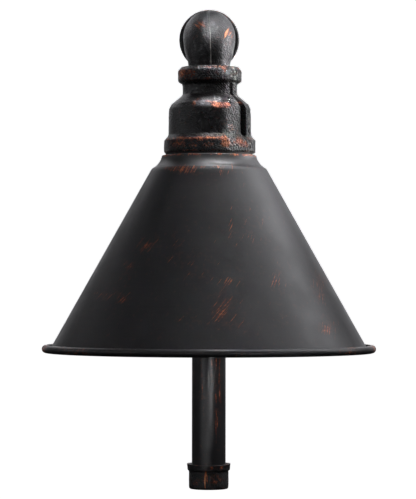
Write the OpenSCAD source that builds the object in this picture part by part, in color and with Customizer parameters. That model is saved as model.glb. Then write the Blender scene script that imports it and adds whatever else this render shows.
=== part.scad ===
// Pipe-style garden path light: a spun cone shade hung from cast pipe fittings on an
// offset arm, whose stem stands in a foot collar. Millimetres, +Z up.
// The origin is the centre of the collar's underside. The shade hangs on the -Y side.

/* [Stem and arm] */
// Distance from the stem's axis to the shade's axis
arm_reach = 108; // [104:1:130]
// Height of the arm's axis above the collar's underside
arm_z = 235.8; // [234:0.2:260]
// Outside radius of the stem and the arm
pipe_r = 9.2; // [9:0.05:9.3]
// Bore radius of the stem and the arm
pipe_bore_r = 7.4; // [6.8:0.1:7.6]

/* [Front elbow] */
// Radius of the elbow's male neck
neck_r = 10.4; // [10.2:0.1:10.6]
// Radius of the elbow's rounded body
elbow_r = 13.1; // [12.8:0.1:13.4]
// Radius of the raised band round the elbow's socket
elbow_band_r = 15.3; // [14.8:0.1:16]
// Distance from the neck's axis to the socket's face
elbow_reach = 28; // [26:0.5:32]

/* [Rear elbow] */
// Radius of the rear elbow's body
rear_elbow_r = 11.1; // [10.9:0.1:11.6]
// Radius of the bands at its two ends
rear_band_r = 12.4; // [12.2:0.1:13]
// Distance from its corner to each face
rear_reach = 24; // [22:0.5:28]

/* [Reducing coupling] */
// Height of the coupling's lower face
coupling_z = 176.6; // [176.6:0.1:178]
// Overall height of the coupling
coupling_h = 43.1; // [42:0.1:44]
// Radius of the small band at the top
small_band_r = 15.9; // [15.5:0.1:16.5]
// Radius of the neck under the small band
coupling_neck_r = 13.6; // [13.3:0.1:14]
// Radius of the wide body
coupling_body_r = 20.6; // [20.2:0.1:21]
// Radius of the large band at the bottom
large_band_r = 22.8; // [22.4:0.1:23.2]
// Direction of the first casting rib, from the front towards +X, in degrees
rib_turn = 59; // [0:1:89]

/* [Shade] */
// Thickness of the spun sheet
sheet_t = 0.8; // [0.6:0.1:1.1]
// Radius at the top of the cove
shade_top_r = 23.7; // [23.4:0.1:24]
// Radius of the cove's arc
cove_r = 9.05; // [8.8:0.05:9.2]
// Outer radius of the rolled rim
rim_r = 83.3; // [80:0.1:85]
// Height of the rim's lowest point
rim_z = 77.1; // [74:0.1:80]
// Half the height of the rim's roll
roll_r = 1.95; // [1.6:0.05:2.1]

/* [Lamp] */
// Radius of the glass jar
jar_r = 16.5; // [16.3:0.1:18]
// Height of the jar's underside
jar_z = 112; // [105:1:114]
// Radius of the lamp's glass envelope
lamp_r = 4.75; // [4.5:0.05:5.5]
// Distance between the lamp's two pins
pin_pitch = 4; // [3.9:0.1:4.2]

/* [Foot collar] */
// Height of the collar
collar_h = 13.3; // [12.5:0.1:15]
// Radius of the collar's body
collar_r = 10.8; // [10.6:0.1:11]
// Radius of the thin lip at the collar's mouth
lip_r = 11.9; // [11.8:0.1:12.2]
// Radius of the threaded hole in the collar's floor
foot_thread_r = 4.85; // [4.5:0.05:5.2]
// Thickness of the collar's floor
collar_floor = 4.5; // [4:0.1:5]

/* [Hidden] */
$fn = 96;

// Clearances: a turning fit, a screwed joint, and two faces that stand apart
turn_gap = 0.05;
thread_gap = 0.04;
face_gap = 0.3;

// Coupling stations, from the top down
coupling_top = coupling_z + coupling_h;
small_band_h = 7.6;
small_socket_depth = 12.7;
small_socket_z = coupling_top - small_socket_depth;
shoulder_top = coupling_top - 13.3;
shoulder_bottom = coupling_top - 21.1;
large_band_top = coupling_z + 8.2;
large_band_chamfer = 1.9;
large_socket_r = 17.6;
large_socket_depth = 16;
waterway_r = 7.6;
rib_w = 3.4;
rib_rise = 1.6;

// Front elbow
elbow_band_w = 6.2;
elbow_socket_r = 10.6;
elbow_socket_depth = 12;
neck_bottom = small_socket_z + 0.5;
neck_flare_z = arm_z - 13;
elbow_leg_r = elbow_r - 0.15;

// Reducing bushing and arm
bushing_thread = 10;
bushing_hex_r = 12.6;
bushing_hex_w = 4.5;
socket_face_y = elbow_reach - arm_reach;
bushing_inner_y = socket_face_y - bushing_thread;
arm_front_y = bushing_inner_y + 1;
rear_socket_depth = 10.2;
rear_band_w = 5.6;
arm_rear_y = -rear_reach + rear_socket_depth - 0.2;
stem_top = arm_z + arm_rear_y;

// Shade: the sheet's outer surface runs top plate, cove, crease, cone, roll
gasket_t = 1;
shade_top_z = coupling_z - gasket_t;
plate_hole_r = 17.7;
top_edge_r = 0.6;
cove_start = 194;
cove_end = 245;
cove_cx = shade_top_r - cove_r * cos(cove_start);
cove_cz = shade_top_z - top_edge_r - cove_r * sin(cove_start);
crease_r = cove_cx + cove_r * cos(cove_end);
crease_z = cove_cz + cove_r * sin(cove_end);
roll_cx = rim_r - roll_r;
roll_cz = rim_z + roll_r;
roll_mid = roll_r - sheet_t / 2;
cone_angle = 60.72;
sweep_r = (roll_cx - crease_r + sheet_t / 2 / sin(cone_angle)
    - (crease_z - rim_z - sheet_t / 2) / tan(cone_angle))
    / (sin(cone_angle) - (1 - cos(cone_angle)) / tan(cone_angle));
sweep_cz = rim_z + sheet_t / 2 + sweep_r;
roll_end = 112;

// Lamp adapter, which screws into the coupling and clamps the shade
washer_t = 1;
flange_r = 21;
flange_top = shade_top_z - sheet_t - washer_t;
flange_h = 2.7;
flange_z = flange_top - flange_h;
adapter_top = coupling_z + 12;
adapter_r = large_socket_r - thread_gap;
hub_r = 14.5;
hub_bottom = flange_z - 7.8;
web_z = shade_top_z - 0.3;
web_t = 4;
wire_chamber_r = 13.5;
web_hole_r = 3.6;
pocket_r = 10.4;

// Lampholder, its screws and contacts
holder_r = 10;
holder_z = hub_bottom - 1;
screw_r = 1.5;
screw_offset = 6.6;
screw_head_r = 2.75;
screw_head_h = 2.6;
contact_r = 1.3;
contact_z = holder_z + 4;
contact_h = 7.2;

// Jar and its seal
jar_wall = 1.7;
jar_top = flange_z - 0.5;
seal_r = 1.2;
seal_z = hub_bottom + 3.6;
seal_centre_r = jar_r - jar_wall - seal_r - 0.05;
groove_r = seal_centre_r - seal_r;

// Lamp
pin_r = 0.35;
pin_bottom = holder_z - 1.3;
pin_top = contact_z + 4;
pinch = [8.4, 3.2, 7.2];
pinch_z = holder_z - 0.5 - pinch[2];
lamp_bottom = pinch_z - 19;
lamp_wall = 0.7;
filament_z = lamp_bottom + 8;
filament_l = 5;
filament_r = 0.9;
support_r = 0.25;

// Leads
lead_r = 0.8;
lead_bend = 8;
lead_break_y = bushing_inner_y + 4;
splice_r = 1.9;
splice_z = 16;
splice_h = 18;
lead_end_z = 6.5;

// Foot collar
ring_h = 3.4;
collar_edge_r = 1.8;
cup_flare_z = collar_h - 3;
lip_t = 0.5;
set_screw_z = 7.4;
set_screw_r = 1.5;
set_screw_l = 3.2;

// Points along an arc of radius r about (x, y), from angle a to angle b in degrees
function arc(x, y, r, a, b, steps = 8) =
    [for (i = [0:steps]) let (t = a + (b - a) * i / steps) [x + r * cos(t), y + r * sin(t)]];

// Moves its children to the shade's axis
module on_head() {
    translate([0, -arm_reach, 0]) children();
}

// Turns something built along +Z so that it runs along +Y, from y at the arm's height
module along_arm(y) {
    translate([0, y, arm_z]) rotate([-90, 0, 0]) children();
}

// A tube with a flat face at each end
module tube(r, bore, h) {
    difference() {
        cylinder(r = r, h = h);
        translate([0, 0, -1]) cylinder(r = bore, h = h + 2);
    }
}

// A band round a fitting's mouth, with its two edges broken
module band(r, h, edge = 0.9) {
    rotate_extrude()
        polygon([[0, 0], [r - edge, 0], [r, edge], [r, h - edge], [r - edge, h], [0, h]]);
}

// One lead's quarter bend, from +Z at the origin to +Y
module lead_corner() {
    translate([0, lead_bend, 0])
        rotate([0, 0, -90])
            rotate([90, 0, 0])
                rotate_extrude(angle = 90)
                    translate([lead_bend, 0]) circle(r = lead_r);
}

// Cast street elbow: male neck down into the coupling, socket facing the stem
module front_elbow() {
    socket_y = socket_face_y + arm_reach;
    color([0.10, 0.09, 0.09]) on_head()
        difference() {
            union() {
                translate([0, 0, neck_bottom])
                    cylinder(r = neck_r, h = neck_flare_z - neck_bottom + 0.1);
                translate([0, 0, neck_flare_z])
                    cylinder(r1 = neck_r, r2 = elbow_r - 0.25, h = 11.5);
                translate([0, 0, arm_z]) sphere(r = elbow_r);
                along_arm(0) cylinder(r = elbow_leg_r, h = elbow_reach - 1);
                along_arm(socket_y - elbow_band_w) band(elbow_band_r, elbow_band_w);
            }
            translate([0, 0, neck_bottom - 1])
                cylinder(r = waterway_r, h = arm_z - neck_bottom + 5);
            along_arm(-4) cylinder(r = waterway_r, h = elbow_reach);
            along_arm(socket_y - elbow_socket_depth)
                cylinder(r = elbow_socket_r, h = elbow_socket_depth + 1);
        }
}

// One rib of the coupling, standing on the shoulder in the plane of +X
module coupling_rib() {
    low = coupling_z + 9;
    high = coupling_top - small_band_h;
    outer = coupling_body_r + rib_rise;
    rotate([90, 0, 0])
        translate([0, 0, -rib_w / 2])
            linear_extrude(height = rib_w)
                polygon([
                    [coupling_neck_r - 2, high + 0.5], [coupling_neck_r + rib_rise, high + 0.5],
                    [coupling_neck_r + rib_rise, shoulder_top + 1.5],
                    [outer - 0.9, shoulder_bottom + 2.6], [outer, shoulder_bottom - 0.6],
                    [outer, low], [coupling_neck_r - 2, low]
                ]);
}

// Bell reducing coupling between the elbow's neck and the lamp adapter
module reducing_coupling() {
    mid = (shoulder_top + shoulder_bottom) / 2;
    socket_top = coupling_z + large_socket_depth;
    color([0.10, 0.09, 0.09]) on_head()
        difference() {
            union() {
                rotate_extrude()
                    polygon(concat(
                        [[0, coupling_z], [large_band_r - 0.5, coupling_z],
                            [large_band_r, coupling_z + 0.5],
                            [large_band_r, large_band_top - large_band_chamfer],
                            [coupling_body_r, large_band_top]],
                        arc(coupling_body_r - 4.2, shoulder_bottom, 4.2, 0, 60, 4),
                        arc(coupling_neck_r + 4.0, mid + 3.6, 4.0, 236, 180, 4),
                        [[coupling_neck_r, coupling_top - small_band_h],
                            [small_band_r - 1, coupling_top - small_band_h],
                            [small_band_r, coupling_top - small_band_h + 1],
                            [small_band_r, coupling_top - 1.9],
                            [small_band_r - 1.6, coupling_top - 0.5],
                            [neck_r + 1.4, coupling_top], [0, coupling_top]]
                    ));
                for (side = [0, 180])
                    rotate([0, 0, rib_turn - 90 + side]) coupling_rib();
            }
            translate([0, 0, small_socket_z])
                cylinder(r = neck_r + thread_gap, h = small_socket_depth + 1);
            translate([0, 0, coupling_z]) cylinder(r = waterway_r, h = coupling_h);
            translate([0, 0, coupling_z - 1])
                cylinder(r = large_socket_r, h = large_socket_depth + 1);
            translate([0, 0, socket_top - 0.01])
                cylinder(r1 = large_socket_r - 2, r2 = waterway_r, h = 7);
        }
}

// Rubber ring between the coupling and the shade
module shade_gasket() {
    color([0.02, 0.02, 0.02]) on_head()
        translate([0, 0, shade_top_z]) tube(large_band_r - 1, plate_hole_r, gasket_t);
}

// Spun cone with a cove at the top and an open roll round the rim
module shade() {
    inner_start = asin((cove_cz - shade_top_z + sheet_t) / (cove_r + sheet_t)) + 180;
    color([0.09, 0.08, 0.08]) on_head()
        rotate_extrude()
            polygon(concat(
                [[plate_hole_r, shade_top_z - sheet_t], [plate_hole_r, shade_top_z],
                    [shade_top_r - top_edge_r, shade_top_z]],
                arc(cove_cx, cove_cz, cove_r, cove_start, cove_end, 8),
                arc(roll_cx, sweep_cz, sweep_r - sheet_t / 2, 270 - cone_angle, 270, 5),
                arc(roll_cx, roll_cz, roll_mid - sheet_t / 2, -60, roll_end, 8),
                arc(roll_cx, roll_cz, roll_r, roll_end, -90, 14),
                arc(roll_cx, sweep_cz, sweep_r + sheet_t / 2, 264, 270 - cone_angle, 5),
                arc(cove_cx, cove_cz, cove_r + sheet_t, cove_end - 1.5, inner_start, 8)
            ));
}

// Threaded adapter: its flange clamps the shade, and its hub carries the jar and the holder
module lamp_adapter() {
    notch_w = 5;
    color([0.62, 0.62, 0.64]) on_head()
        difference() {
            rotate_extrude()
                polygon([
                    [web_hole_r, web_z], [pocket_r, web_z], [pocket_r, hub_bottom],
                    [hub_r - 0.5, hub_bottom], [hub_r, hub_bottom + 0.5],
                    [hub_r, seal_z - seal_r - 0.05], [groove_r - 0.02, seal_z - seal_r - 0.05],
                    [groove_r - 0.02, seal_z + seal_r + 0.05], [hub_r, seal_z + seal_r + 0.05],
                    [hub_r, flange_z], [flange_r - 0.6, flange_z], [flange_r, flange_z + 0.6],
                    [flange_r, flange_top], [adapter_r, flange_top],
                    [adapter_r, adapter_top - 0.8], [adapter_r - 0.8, adapter_top],
                    [wire_chamber_r, adapter_top], [wire_chamber_r, web_z + web_t],
                    [web_hole_r, web_z + web_t]
                ]);
            for (side = [-1, 1]) {
                translate([0, side * screw_offset, web_z - 1])
                    cylinder(r = screw_r + thread_gap, h = web_t + 2);
                translate([side * flange_r, 0, flange_z + flange_h / 2])
                    cube([4, notch_w, flange_h + 1], center = true);
            }
        }
}

// Washer between the adapter's flange and the shade's top plate
module adapter_washer() {
    color([0.02, 0.02, 0.02]) on_head()
        translate([0, 0, flange_top]) tube(flange_r, plate_hole_r, washer_t);
}

// Round ceramic holder for a two-pin lamp
module lampholder() {
    height = web_z - holder_z;
    color([0.88, 0.86, 0.82]) on_head() translate([0, 0, holder_z])
        difference() {
            union() {
                cylinder(r1 = holder_r - 0.6, r2 = holder_r, h = 0.6);
                translate([0, 0, 0.6]) cylinder(r = holder_r, h = height - 0.6);
            }
            for (side = [-1, 1]) {
                translate([side * pin_pitch / 2, 0, -1]) cylinder(r = 0.75, h = 6);
                translate([side * pin_pitch / 2, 0, 3.8])
                    cylinder(r = contact_r + 0.05, h = contact_h + 0.4);
                translate([side * pin_pitch / 2, 0, 3]) cylinder(r = lead_r + 0.1, h = height);
                translate([0, side * screw_offset, -1]) cylinder(r = screw_r + 0.1, h = height + 2);
                translate([0, side * screw_offset, -1])
                    cylinder(r = screw_head_r + 0.15, h = screw_head_h + 1.4);
            }
        }
}

// Sprung brass sleeves that grip the lamp's pins
module socket_contacts() {
    color([0.78, 0.62, 0.30]) on_head()
        for (side = [-1, 1])
            translate([side * pin_pitch / 2, 0, contact_z]) tube(contact_r, 0.6, contact_h);
}

// The two screws that hold the lampholder to the adapter's web
module holder_screws() {
    head_z = holder_z + 0.3;
    color([0.70, 0.70, 0.72]) on_head()
        for (side = [-1, 1])
            translate([0, side * screw_offset, head_z])
                difference() {
                    union() {
                        cylinder(r = screw_head_r, h = screw_head_h - 0.1);
                        cylinder(r = screw_r, h = web_z + web_t - head_z);
                    }
                    translate([0, 0, 0.4]) cube([0.8, 7, 1.6], center = true);
                }
}

// Ring in the hub's groove that grips the jar
module jar_seal() {
    color([0.55, 0.18, 0.12]) on_head()
        translate([0, 0, seal_z])
            rotate_extrude() translate([seal_centre_r, 0]) circle(r = seal_r);
}

// The two leads from the contacts up through the elbow to the arm's joint
module head_leads() {
    start = contact_z + contact_h;
    bend_z = arm_z - lead_bend;
    color([0.16, 0.14, 0.12]) on_head()
        for (side = [-1, 1])
            translate([side * pin_pitch / 2, 0, 0]) {
                translate([0, 0, start]) cylinder(r = lead_r, h = bend_z - start);
                translate([0, 0, bend_z]) lead_corner();
                along_arm(lead_bend)
                    cylinder(r = lead_r, h = lead_break_y + arm_reach - lead_bend);
            }
}

// Clear jar that pushes up over the seal and covers the lamp
module glass_jar() {
    color([0.80, 0.88, 0.90, 0.4]) on_head()
        rotate_extrude()
            polygon(concat(
                [[0, jar_z]],
                arc(jar_r - 5, jar_z + 5, 5, -90, 0, 6),
                [[jar_r, jar_top], [jar_r - jar_wall, jar_top]],
                arc(jar_r - 5, jar_z + 5, 5 - jar_wall, 0, -90, 6),
                [[0, jar_z + jar_wall]]
            ));
}

// Quartz envelope with its flat pinch
module lamp_envelope() {
    color([0.85, 0.88, 0.92, 0.5]) on_head()
        difference() {
            union() {
                translate([0, 0, lamp_bottom + lamp_r])
                    cylinder(r = lamp_r, h = pinch_z - lamp_bottom - lamp_r);
                translate([0, 0, lamp_bottom + lamp_r]) sphere(r = lamp_r - 0.001);
                translate([-pinch[0] / 2, -pinch[1] / 2, pinch_z - 0.5])
                    cube([pinch[0], pinch[1], pinch[2] + 0.5]);
            }
            translate([0, 0, lamp_bottom + lamp_r])
                cylinder(r = lamp_r - lamp_wall, h = pinch_z - lamp_bottom - lamp_r - 1.2);
            for (side = [-1, 1]) {
                translate([side * pin_pitch / 2, 0, pin_bottom])
                    cylinder(r = pin_r + 0.02, h = 9);
                translate([side * pin_pitch / 2, 0, filament_z])
                    cylinder(r = support_r + 0.02, h = pin_bottom - filament_z + 0.1);
            }
        }
}

// The lamp's two pins
module lamp_pins() {
    color([0.75, 0.75, 0.76]) on_head()
        for (side = [-1, 1])
            translate([side * pin_pitch / 2, 0, pin_bottom])
                cylinder(r = pin_r, h = pin_top - pin_bottom);
}

// Coiled filament, drawn as the cylinder that its turns fill
module lamp_filament() {
    color([0.45, 0.45, 0.47]) on_head()
        translate([-(pin_pitch / 2 - support_r - 0.05), 0, filament_z + 1])
            rotate([0, 90, 0])
                cylinder(r = filament_r, h = pin_pitch - 2 * support_r - 0.1);
}

// Wires that carry the filament, from the pinch down into the envelope
module lamp_supports() {
    color([0.45, 0.45, 0.47]) on_head()
        for (side = [-1, 1])
            translate([side * pin_pitch / 2, 0, filament_z + 0.3])
                cylinder(r = support_r, h = pin_bottom - filament_z - 0.35);
}

// Hex bushing that brings the elbow's socket down to the arm's size
module reducing_bushing() {
    color([0.10, 0.09, 0.09])
        difference() {
            union() {
                along_arm(bushing_inner_y)
                    cylinder(r = elbow_socket_r - turn_gap, h = bushing_thread + face_gap + 0.1);
                along_arm(socket_face_y + face_gap)
                    cylinder(r = bushing_hex_r, h = bushing_hex_w, $fn = 6);
            }
            along_arm(bushing_inner_y - 1)
                cylinder(r = pipe_r + thread_gap, h = bushing_thread + bushing_hex_w + 3);
        }
}

// Short horizontal pipe between the two elbows
module arm_nipple() {
    color([0.10, 0.09, 0.09])
        along_arm(arm_front_y) tube(pipe_r, pipe_bore_r, arm_rear_y - arm_front_y);
}

// Elbow at the top of the stem
module rear_elbow() {
    corner = arm_z;
    color([0.10, 0.09, 0.09])
        difference() {
            union() {
                translate([0, 0, corner]) sphere(r = rear_elbow_r);
                along_arm(-rear_reach + 1) cylinder(r = rear_elbow_r - 0.1, h = rear_reach - 1);
                translate([0, 0, corner - rear_reach + 1])
                    cylinder(r = rear_elbow_r - 0.1, h = rear_reach - 1);
                along_arm(-rear_reach) band(rear_band_r, rear_band_w);
                translate([0, 0, corner - rear_reach]) band(rear_band_r, rear_band_w);
            }
            along_arm(-rear_reach - 1) cylinder(r = pipe_bore_r, h = rear_reach + 6);
            translate([0, 0, corner - rear_reach - 1])
                cylinder(r = pipe_bore_r, h = rear_reach + 6);
            along_arm(-rear_reach - 1)
                cylinder(r = pipe_r + thread_gap, h = rear_socket_depth + 1);
            translate([0, 0, corner - rear_reach - 1])
                cylinder(r = pipe_r + thread_gap, h = rear_socket_depth + 1);
        }
}

// Upright pipe, which turns in the foot collar
module stem_pipe() {
    bottom = collar_floor + 0.2;
    color([0.10, 0.09, 0.09])
        translate([0, 0, bottom]) tube(pipe_r, pipe_bore_r, stem_top - bottom);
}

// The two leads from the arm's joint down to the splices, and their tails
module stem_leads() {
    start_y = lead_break_y + face_gap;
    corner_z = arm_z - lead_bend;
    splice_top = splice_z + splice_h;
    color([0.16, 0.14, 0.12])
        for (side = [-1, 1])
            translate([side * pin_pitch / 2, 0, 0]) {
                along_arm(start_y) cylinder(r = lead_r, h = -lead_bend - start_y);
                translate([0, 0, corner_z]) mirror([0, 1, 0]) lead_corner();
                translate([0, 0, splice_top]) cylinder(r = lead_r, h = corner_z - splice_top);
                translate([0, 0, lead_end_z]) cylinder(r = lead_r, h = splice_z - lead_end_z);
            }
}

// Crimped splices on the leads, inside the stem
module wire_splices() {
    color([0.45, 0.10, 0.08])
        for (side = [-1, 1])
            translate([side * pin_pitch / 2, 0, splice_z]) cylinder(r = splice_r, h = splice_h);
}

// Cup that the stem stands in, with a flared lip and a threaded hole in its floor
module foot_collar() {
    ring_z = collar_h - ring_h;
    color([0.10, 0.09, 0.09])
        difference() {
            rotate_extrude()
                polygon(concat(
                    [[foot_thread_r, 0]],
                    arc(collar_r - collar_edge_r, collar_edge_r, collar_edge_r, -90, 0, 5),
                    [[collar_r, ring_z], [lip_r - 0.45, ring_z + 0.4], [lip_r, collar_h - 0.3],
                        [lip_r - 0.1, collar_h], [lip_r - lip_t, collar_h],
                        [pipe_r + turn_gap, cup_flare_z], [pipe_r + turn_gap, collar_floor],
                        [foot_thread_r, collar_floor]]
                ));
            translate([0, pipe_r - 1, set_screw_z]) rotate([-90, 0, 0])
                cylinder(r = set_screw_r + turn_gap, h = 6);
        }
}

// Set screw at the back of the collar, with a slot to turn it
module collar_set_screw() {
    start = pipe_r + turn_gap + 0.1;
    color([0.20, 0.19, 0.18])
        translate([0, start, set_screw_z]) rotate([-90, 0, 0])
            difference() {
                cylinder(r = set_screw_r, h = set_screw_l);
                translate([0, 0, set_screw_l]) cube([4, 0.6, 1.6], center = true);
            }
}

front_elbow();
reducing_coupling();
shade_gasket();
shade();
lamp_adapter();
adapter_washer();
lampholder();
socket_contacts();
holder_screws();
jar_seal();
head_leads();
glass_jar();
lamp_envelope();
lamp_pins();
lamp_filament();
lamp_supports();
reducing_bushing();
arm_nipple();
rear_elbow();
stem_pipe();
stem_leads();
wire_splices();
foot_collar();
collar_set_screw();
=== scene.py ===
import bpy
import math
import numpy as np
from mathutils import Matrix, Vector


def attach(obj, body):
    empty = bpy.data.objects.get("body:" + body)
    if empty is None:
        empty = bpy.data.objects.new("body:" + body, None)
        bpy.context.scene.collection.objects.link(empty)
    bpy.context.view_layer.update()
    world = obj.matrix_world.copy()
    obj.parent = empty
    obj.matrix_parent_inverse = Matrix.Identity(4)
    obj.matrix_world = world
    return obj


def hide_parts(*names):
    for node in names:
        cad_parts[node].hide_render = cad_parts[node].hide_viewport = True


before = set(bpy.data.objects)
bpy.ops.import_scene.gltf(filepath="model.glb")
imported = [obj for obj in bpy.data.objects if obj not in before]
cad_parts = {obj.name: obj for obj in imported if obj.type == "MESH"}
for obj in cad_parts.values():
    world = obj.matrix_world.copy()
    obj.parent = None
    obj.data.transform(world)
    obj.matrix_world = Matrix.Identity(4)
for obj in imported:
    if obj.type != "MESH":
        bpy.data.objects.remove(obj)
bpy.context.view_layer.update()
MM = 0.001

# ---- sizes, in mm, as in the CAD
REACH = 108.0
HEAD = -REACH
ARM_Z = 235.8
COUP_Z, COUP_TOP = 176.6, 219.7
RIB_TURNS = (59.0, -121.0)
PIPE_R, PIPE_BORE, PIPE_END_R = 9.2, 7.4, 8.7
WATERWAY_R = 7.6
GASKET_T = 1.0
SHADE_TOP = COUP_Z - GASKET_T
ELBOW_REACH, REAR_REACH = 28.0, 24.0
BUSH_FACE = ELBOW_REACH - REACH
JAR_R, JAR_WALL, JAR_Z, JAR_TOP = 16.5, 1.7, 112.0, 170.6
LAMP_R, LAMP_WALL, LAMP_Z, PINCH_Z = 4.75, 0.7, 135.6, 154.6
X_AXIS, Y_AXIS, Z_AXIS = np.eye(3)


# ---- small maths helpers
def smooth(a, b, x):
    t = np.clip((np.asarray(x, float) - a) / (b - a), 0, 1)
    return t * t * (3 - 2 * t)


def bump(x, c, w):
    return np.exp(-((np.asarray(x, float) - c) / w) ** 2)


def _hash(ix, iy, iz, seed):
    h = (ix * 374761393 + iy * 668265263 + iz * 2147483647 + seed * 974711) & 0xFFFFFFFF
    h = ((h ^ (h >> 13)) * 1274126177) & 0xFFFFFFFF
    h = ((h ^ (h >> 15)) * 2246822519) & 0xFFFFFFFF
    return ((h ^ (h >> 16)) & 0xFFFFFF) / float(0xFFFFFF)


def value_noise(q, seed):
    """Smooth random heights, 0..1, on a grid of unit cells."""
    i = np.floor(q).astype(np.int64)
    f = q - i
    f = f * f * (3 - 2 * f)
    out = 0.0
    for dx in (0, 1):
        for dy in (0, 1):
            for dz in (0, 1):
                w = ((f[:, 0] if dx else 1 - f[:, 0]) * (f[:, 1] if dy else 1 - f[:, 1])
                     * (f[:, 2] if dz else 1 - f[:, 2]))
                out = out + w * _hash(i[:, 0] + dx, i[:, 1] + dy, i[:, 2] + dz, seed)
    return out


def noise(p, scale, seed=0):
    """Noise in about -1..1 at points p (n, 3) in mm; scale is the size of one cell in mm.

    Two layers turned against each other hide the grid."""
    out = 0.0
    for layer, axis in enumerate(((1, 2, 3), (3, -1, 2))):
        turn = np.array(Matrix.Rotation(0.7 + 1.1 * layer + seed, 3, Vector(axis).normalized()))
        out = out + value_noise(p @ turn.T / scale + 1000.0, seed + 50 * layer) - 0.5
    return out * 1.35


def cast_grain(p, seed=1):
    """The pebbled skin of a sand casting, in mm of height."""
    return (0.085 * noise(p, 1.25, seed) + 0.085 * noise(p, 0.75, seed + 7)
            + 0.05 * noise(p, 5.5, seed + 3))


def arc(cx, cz, r, a0, a1, n):
    t = np.radians(np.linspace(a0, a1, n))
    return [(cx + r * math.cos(v), cz + r * math.sin(v)) for v in t]


def rounded(pts, radii, n=6):
    """A polyline with its corners rounded; radii gives each corner's radius (0 keeps it)."""
    out = [pts[0]]
    for i in range(1, len(pts) - 1):
        p, a, b = Vector(pts[i]), Vector(pts[i - 1]), Vector(pts[i + 1])
        r = radii[i]
        u, v = (a - p), (b - p)
        lu, lv = u.length, v.length
        if r <= 0 or lu < 1e-6 or lv < 1e-6:
            out.append(tuple(p))
            continue
        u.normalize()
        v.normalize()
        ang = math.acos(max(-1, min(1, u.dot(v))))
        if ang > math.pi - 0.02:
            out.append(tuple(p))
            continue
        d = min(r / math.tan(ang / 2), lu * 0.49, lv * 0.49)
        s, e = p + u * d, p + v * d
        for k in range(n + 1):
            t = k / n
            q = s * (1 - t) ** 2 + p * 2 * t * (1 - t) + e * t * t
            out.append(tuple(q))
    out.append(pts[-1])
    return out


def resample(pts, step):
    """Points about step apart along a polyline."""
    p = np.array(pts, float)
    seg = np.hypot(*np.diff(p, axis=0).T)
    p = p[np.concatenate([[True], seg > 1e-6])]
    s = np.concatenate([[0], np.cumsum(np.hypot(*np.diff(p, axis=0).T))])
    t = np.linspace(0, s[-1], max(2, int(round(s[-1] / step)) + 1))
    return np.column_stack([np.interp(t, s, p[:, 0]), np.interp(t, s, p[:, 1])])


def put(name, data):
    """A new object in the scene."""
    ob = bpy.data.objects.new(name, data)
    bpy.context.scene.collection.objects.link(ob)
    return ob


def make(name, verts, faces, body, mat, attrs=None, replaces=(), sharp=None):
    """One piece of the visual model: verts in mm, masks in attrs, and the nodes that it stands for."""
    me = bpy.data.meshes.new(name)
    faces = faces if isinstance(faces, list) else faces.tolist()
    me.from_pydata((np.asarray(verts) * MM).tolist(), [], faces)
    me.update()
    attrs = dict(attrs or {})
    attrs.setdefault("pebble", np.ones(len(verts)))
    attrs.setdefault("painted_shade", np.zeros(len(verts)))
    for k, v in attrs.items():
        a = me.attributes.new(k, "FLOAT", "POINT")
        a.data.foreach_set("value", np.asarray(v, np.float32))
    ob = put(name, me)
    me.shade_smooth()
    if sharp is not None:
        me.set_sharp_from_angle(angle=math.radians(sharp))
    me.materials.append(mat)
    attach(ob, body)
    if replaces:
        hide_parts(*replaces)


def grid_faces(rows, cols, close_rows=True):
    """Quads of a grid of vertices whose rows are rings; the last row joins the first where asked."""
    r = np.arange(rows if close_rows else rows - 1)
    c = np.arange(cols)
    R, C = np.meshgrid(r, c, indexing="ij")
    R1, C1 = (R + 1) % rows, (C + 1) % cols
    return np.stack([R * cols + C, R * cols + C1, R1 * cols + C1, R1 * cols + C], -1).reshape(-1, 4)


def turned_faces(rows, theta, close_rows=True):
    """Faces of a section that around() turned, in reversed order: outside out only where the section runs
    down its outside.
    """
    return grid_faces(len(rows), len(theta), close_rows)[:, ::-1]


def around(profile, theta, cx=0.0, cy=0.0):
    """Vertices of a profile (r, z) turned about a vertical axis; theta 0 faces -Y, +90 faces +X."""
    r, z = profile[:, 0][:, None], profile[:, 1][:, None]
    th = theta[None, :]
    v = np.stack([cx + r * np.sin(th), cy - r * np.cos(th), z + 0 * th], -1)
    return v.reshape(-1, 3)


def circle(count, start=0.0):
    """count angles spread evenly round a circle."""
    return np.linspace(start, start + 2 * math.pi, count, endpoint=False)


def crowded(weight, count):
    """count angles round a circle, closer together where weight(degrees) is larger."""
    base = np.linspace(-math.pi, math.pi, 4001)
    w = weight(np.degrees(base))
    total = np.concatenate([[0], np.cumsum((w[1:] + w[:-1]) / 2)])
    return np.interp(np.linspace(0, total[-1], count + 1)[:-1], total, base)


def ring_coords(ring, theta):
    """Radius, height and angle of every vertex that around() makes."""
    n = len(theta)
    return np.repeat(ring[:, 0], n), np.repeat(ring[:, 1], n), np.tile(theta, len(ring))


def level_ring(r, y, z, theta):
    """A ring about the level line at height z; r is one radius or one per angle."""
    return np.stack([r * np.sin(theta), np.full(len(theta), y), z + r * np.cos(theta)], -1)


def upright_ring(r, z, theta):
    """A ring about the shade's axis; r is one radius or one per angle."""
    return np.stack([r * np.sin(theta), HEAD - r * np.cos(theta), np.full(len(theta), z)], -1)


def hex_fold(theta):
    """The angle from the middle of the nearest flat of a hexagon."""
    return (theta + math.pi / 6) % (math.pi / 3) - math.pi / 6


# ---- materials
def new_mat(name):
    m = bpy.data.materials.new(name)
    m.use_nodes = True
    nt = m.node_tree
    nt.nodes.clear()
    out = nt.nodes.new("ShaderNodeOutputMaterial")
    bsdf = nt.nodes.new("ShaderNodeBsdfPrincipled")
    nt.links.new(bsdf.outputs[0], out.inputs[0])
    return m, nt, bsdf


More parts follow.
